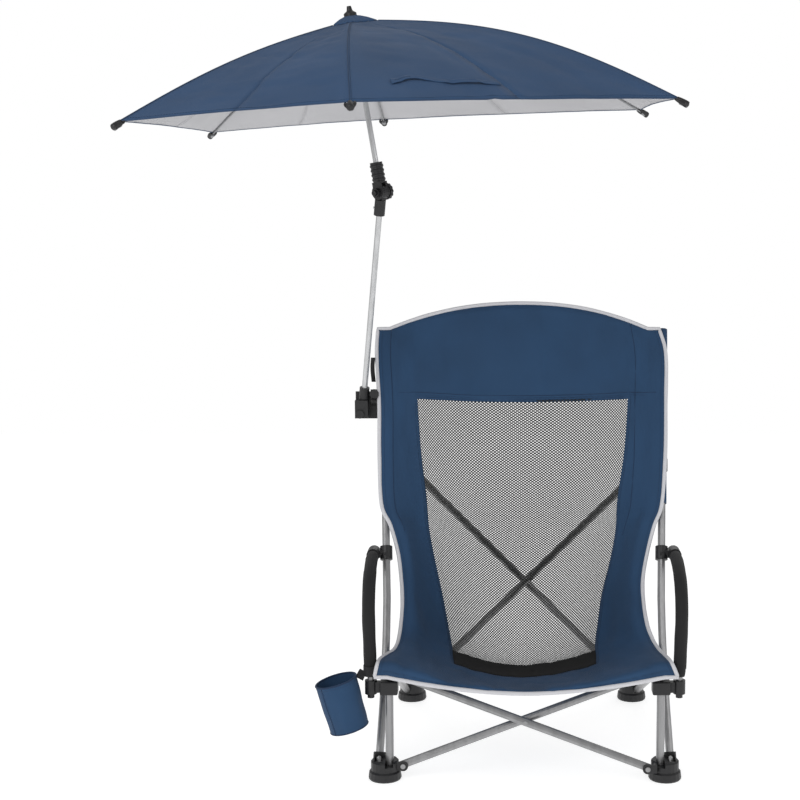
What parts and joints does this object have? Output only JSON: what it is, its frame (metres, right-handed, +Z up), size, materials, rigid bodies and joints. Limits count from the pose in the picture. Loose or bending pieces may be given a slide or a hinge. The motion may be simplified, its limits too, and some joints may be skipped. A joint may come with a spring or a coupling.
{
  "type": "folding beach chair with umbrella",
  "caption": "Low folding beach chair with a sling seat, mesh back, arm tubes, side cup holder and a clamp-on tilting umbrella.",
  "frame": {"origin": "on the floor, below the middle of the whole object's bounding box, umbrella included", "axes": "+Z up, the sitter faces -Y, +X to the right in a front view"},
  "size_m": [1.0486, 1.0644, 1.506],
  "materials": {
    "steel": "grey powder-coated steel tube",
    "plastic": "black moulded plastic",
    "sleeve": "soft black sleeve",
    "cloth": "dark blue woven polyester",
    "netting": "dark open mesh",
    "alloy": "silver aluminium tube",
    "rib": "grey painted steel rod"
  },
  "bodies": {
    "left_side": {"front_foot_left": "plastic", "rear_foot_left": "plastic", "upright_left": "steel", "back_post_left": "steel", "rear_leg_left": "steel", "side_hub_left": "plastic", "arm_tube_left": "steel", "arm_sleeve_left": "sleeve", "arm_bracket_left": "plastic", "clamp_body": "plastic", "cup_strap": "cloth", "sling": "cloth", "mesh_panel": "netting"},
    "right_side": {"front_foot_right": "plastic", "rear_foot_right": "plastic", "upright_right": "steel", "back_post_right": "steel", "rear_leg_right": "steel", "side_hub_right": "plastic", "arm_tube_right": "steel", "arm_sleeve_right": "sleeve", "arm_bracket_right": "plastic"},
    "cross_a": {"front_cross_left": "steel", "seat_corner_cap_right": "plastic"},
    "cross_b": {"front_cross_right": "steel", "seat_corner_cap_left": "plastic"},
    "back_cross_a": {"rear_cross_left": "steel"},
    "back_cross_b": {"rear_cross_right": "steel"},
    "slider_left": {"post_slider_left": "plastic"},
    "slider_right": {"post_slider_right": "plastic"},
    "cup": {"cup_holder": "cloth"},
    "jaw": {"clamp_jaw": "plastic"},
    "knob": {"clamp_knob": "plastic"},
    "holder": {"shaft_holder": "plastic"},
    "lower_mast": {"lower_shaft": "alloy", "knuckle_base": "plastic"},
    "upper_mast": {"knuckle_head": "plastic", "upper_shaft": "alloy", "top_notch": "plastic", "canopy": "cloth"},
    "bolt_knob": {"tilt_knob": "plastic"},
    "push_button": {"tilt_button": "plastic"},
    "latch": {"latch_button": "alloy"},
    "runner": {"runner": "plastic"},
    "rib_front_right": {"rib_front_right": "rib"},
    "stretcher_front_right": {"stretcher_front_right": "rib"},
    "rib_front_middle": {"rib_front_middle": "rib"},
    "stretcher_front_middle": {"stretcher_front_middle": "rib"},
    "rib_front_left": {"rib_front_left": "rib"},
    "stretcher_front_left": {"stretcher_front_left": "rib"},
    "rib_rear_left": {"rib_rear_left": "rib"},
    "stretcher_rear_left": {"stretcher_rear_left": "rib"},
    "rib_rear_middle": {"rib_rear_middle": "rib"},
    "stretcher_rear_middle": {"stretcher_rear_middle": "rib"},
    "rib_rear_right": {"rib_rear_right": "rib"},
    "stretcher_rear_right": {"stretcher_rear_right": "rib"}
  },
  "joints": [
    {"name": "fold", "type": "hinge", "parent": "left_side", "child": "cross_a", "pos_m": [-0.03616, -0.21461, 0.028], "axis": [0, -1, 0], "range_deg": [0, 26.72], "deforming": ["sling", "mesh_panel"]},
    {"name": "cross_rivet", "type": "hinge", "parent": "cross_a", "child": "cross_b", "pos_m": [0.20184, -0.21461, 0.11936], "axis": [0, 1, 0], "range_deg": [0, 53.93]},
    {"name": "right_foot_rivet", "type": "hinge", "parent": "cross_b", "child": "right_side", "pos_m": [0.43984, -0.23111, 0.028], "axis": [0, -1, 0], "range_deg": [0, 27.22]},
    {"name": "rear_foot_rivet_left", "type": "hinge", "parent": "left_side", "child": "back_cross_a", "pos_m": [-0.01816, 0.25649, 0.05249], "axis": [-0.3666, -0.9303, 0.005], "range_deg": [0, 13.96]},
    {"name": "slider_slide_left", "type": "slide", "parent": "left_side", "child": "slider_left", "axis": [-0.0399, 0.4332, 0.9004], "range_m": [0, 0.1184]},
    {"name": "rear_foot_rivet_right", "type": "hinge", "parent": "right_side", "child": "back_cross_b", "pos_m": [0.42184, 0.27628, 0.05951], "axis": [-0.3666, 0.9303, -0.005], "range_deg": [0, 13.96]},
    {"name": "slider_slide_right", "type": "slide", "parent": "right_side", "child": "slider_right", "axis": [0.0399, 0.4332, 0.9004], "range_m": [0, 0.1184]},
    {"name": "cup_swing", "type": "hinge", "parent": "left_side", "child": "cup", "pos_m": [-0.11896, -0.22561, 0.21262], "axis": [0, 1, 0], "range_deg": [0, 25]},
    {"name": "clamp_knob_turn", "type": "hinge", "parent": "left_side", "child": "knob", "pos_m": [-0.11428, 0.12918, 0.71031], "axis": [0, -0.9011, 0.4336], "range_deg": [0, 180]},
    {"name": "clamp_jaw_slide", "type": "slide", "parent": "left_side", "child": "jaw", "axis": [0, -0.9011, 0.4336], "range_m": [0, 0.0005]},
    {"name": "mast_lean", "type": "hinge", "parent": "left_side", "child": "holder", "pos_m": [-0.14416, 0.13689, 0.677], "axis": [0, -1, 0], "range_deg": [-1, 30]},
    {"name": "mast_swivel", "type": "hinge", "parent": "holder", "child": "lower_mast", "pos_m": [-0.13666, 0.11839, 0.714], "axis": [0.1119, -0.2517, 0.9613], "range_deg": [-90, 90]},
    {"name": "canopy_tilt", "type": "hinge", "parent": "lower_mast", "child": "upper_mast", "pos_m": [-0.08686, 0.00639, 1.1418], "axis": [-0.612, -0.7796, -0.1329], "range_deg": [-20, 10]},
    {"name": "tilt_knob_turn", "type": "hinge", "parent": "upper_mast", "child": "bolt_knob", "pos_m": [-0.08686, 0.00639, 1.1418], "axis": [0.612, 0.7796, 0.1329], "range_deg": [-90, 0]},
    {"name": "tilt_button_press", "type": "slide", "parent": "upper_mast", "child": "push_button", "axis": [0.612, 0.7796, 0.1329], "range_m": [0, 0.003], "stiffness_N_per_m": 400},
    {"name": "latch_press", "type": "slide", "parent": "lower_mast", "child": "latch", "axis": [0.9937, 0.0283, -0.1083], "range_m": [0, 0.002], "stiffness_N_per_m": 400},
    {"name": "runner_slide", "type": "slide", "parent": "upper_mast", "child": "runner", "axis": [0.1602, 0.0423, -0.9862], "range_m": [0, 0.142], "deforming": ["canopy"]},
    {"name": "rib_front_right_hinge", "type": "hinge", "parent": "upper_mast", "child": "rib_front_right", "pos_m": [-0.1287, -0.01353, 1.47344], "axis": [0.425, 0.8988, 0.1076], "range_deg": [0, 57.33]},
    {"name": "stretcher_front_right_hinge", "type": "hinge", "parent": "runner", "child": "stretcher_front_right", "pos_m": [-0.11017, -0.00517, 1.37135], "axis": [-0.425, -0.8988, -0.1076], "range_deg": [0, 37.29]},
    {"name": "rib_front_middle_hinge", "type": "hinge", "parent": "upper_mast", "child": "rib_front_middle", "pos_m": [-0.14, -0.02095, 1.47128], "axis": [0.9865, 0.028, 0.1614], "range_deg": [0, 58.24]},
    {"name": "stretcher_front_middle_hinge", "type": "hinge", "parent": "runner", "child": "stretcher_front_middle", "pos_m": [-0.119, -0.01643, 1.36943], "axis": [-0.9865, -0.028, -0.1614], "range_deg": [0, 37.56]},
    {"name": "rib_front_left_hinge", "type": "hinge", "parent": "upper_mast", "child": "rib_front_left", "pos_m": [-0.1485, -0.01809, 1.47003], "axis": [0.7768, -0.6219, 0.0995], "range_deg": [0, 59.22]},
    {"name": "stretcher_front_left_hinge", "type": "hinge", "parent": "runner", "child": "stretcher_front_left", "pos_m": [-0.12842, -0.01643, 1.3679], "axis": [-0.7768, 0.6219, -0.0995], "range_deg": [0, 36.22]},
    {"name": "rib_rear_left_hinge", "type": "hinge", "parent": "upper_mast", "child": "rib_rear_left", "pos_m": [-0.14902, 0.00223, 1.47081], "axis": [-0.7438, -0.6516, -0.1488], "range_deg": [0, 59.22]},
    {"name": "stretcher_rear_left_hinge", "type": "hinge", "parent": "runner", "child": "stretcher_rear_left", "pos_m": [-0.13564, 0.00376, 1.3676], "axis": [0.7438, 0.6516, 0.1488], "range_deg": [0, 36.22]},
    {"name": "rib_rear_middle_hinge", "type": "hinge", "parent": "upper_mast", "child": "rib_rear_middle", "pos_m": [-0.14069, 0.00542, 1.4723], "axis": [-0.9869, -0.0106, -0.1608], "range_deg": [0, 58.24]},
    {"name": "stretcher_rear_middle_hinge", "type": "hinge", "parent": "runner", "child": "stretcher_rear_middle", "pos_m": [-0.12837, 0.00977, 1.36904], "axis": [0.9869, 0.0106, 0.1608], "range_deg": [0, 37.56]},
    {"name": "rib_rear_right_hinge", "type": "hinge", "parent": "upper_mast", "child": "rib_rear_right", "pos_m": [-0.12901, -0.00155, 1.4739], "axis": [-0.471, 0.8813, -0.0387], "range_deg": [0, 57.33]},
    {"name": "stretcher_rear_right_hinge", "type": "hinge", "parent": "runner", "child": "stretcher_rear_right", "pos_m": [-0.11442, 0.00672, 1.37117], "axis": [0.471, -0.8813, 0.0387], "range_deg": [0, 37.29]}
  ],
  "couplings": [
    {"joint": "cross_rivet", "follows": "fold", "ratio": 2},
    {"joint": "right_foot_rivet", "follows": "fold", "ratio": 1},
    {"joint": "rear_foot_rivet_left", "follows": "fold", "ratio": 0.51503},
    {"joint": "slider_slide_left", "follows": "fold", "m_per_rad": 0.25306},
    {"joint": "rear_foot_rivet_right", "follows": "fold", "ratio": 0.51503},
    {"joint": "slider_slide_right", "follows": "fold", "m_per_rad": 0.25306},
    {"joint": "rib_front_right_hinge", "follows": "runner_slide", "rad_per_m": 7.0092},
    {"joint": "stretcher_front_right_hinge", "follows": "runner_slide", "rad_per_m": 4.5461},
    {"joint": "rib_front_middle_hinge", "follows": "runner_slide", "rad_per_m": 7.1214},
    {"joint": "stretcher_front_middle_hinge", "follows": "runner_slide", "rad_per_m": 4.5799},
    {"joint": "rib_front_left_hinge", "follows": "runner_slide", "rad_per_m": 7.2424},
    {"joint": "stretcher_front_left_hinge", "follows": "runner_slide", "rad_per_m": 4.4144},
    {"joint": "rib_rear_left_hinge", "follows": "runner_slide", "rad_per_m": 7.2424},
    {"joint": "stretcher_rear_left_hinge", "follows": "runner_slide", "rad_per_m": 4.4144},
    {"joint": "rib_rear_middle_hinge", "follows": "runner_slide", "rad_per_m": 7.1214},
    {"joint": "stretcher_rear_middle_hinge", "follows": "runner_slide", "rad_per_m": 4.5799},
    {"joint": "rib_rear_right_hinge", "follows": "runner_slide", "rad_per_m": 7.0092},
    {"joint": "stretcher_rear_right_hinge", "follows": "runner_slide", "rad_per_m": 4.5461}
  ]
}
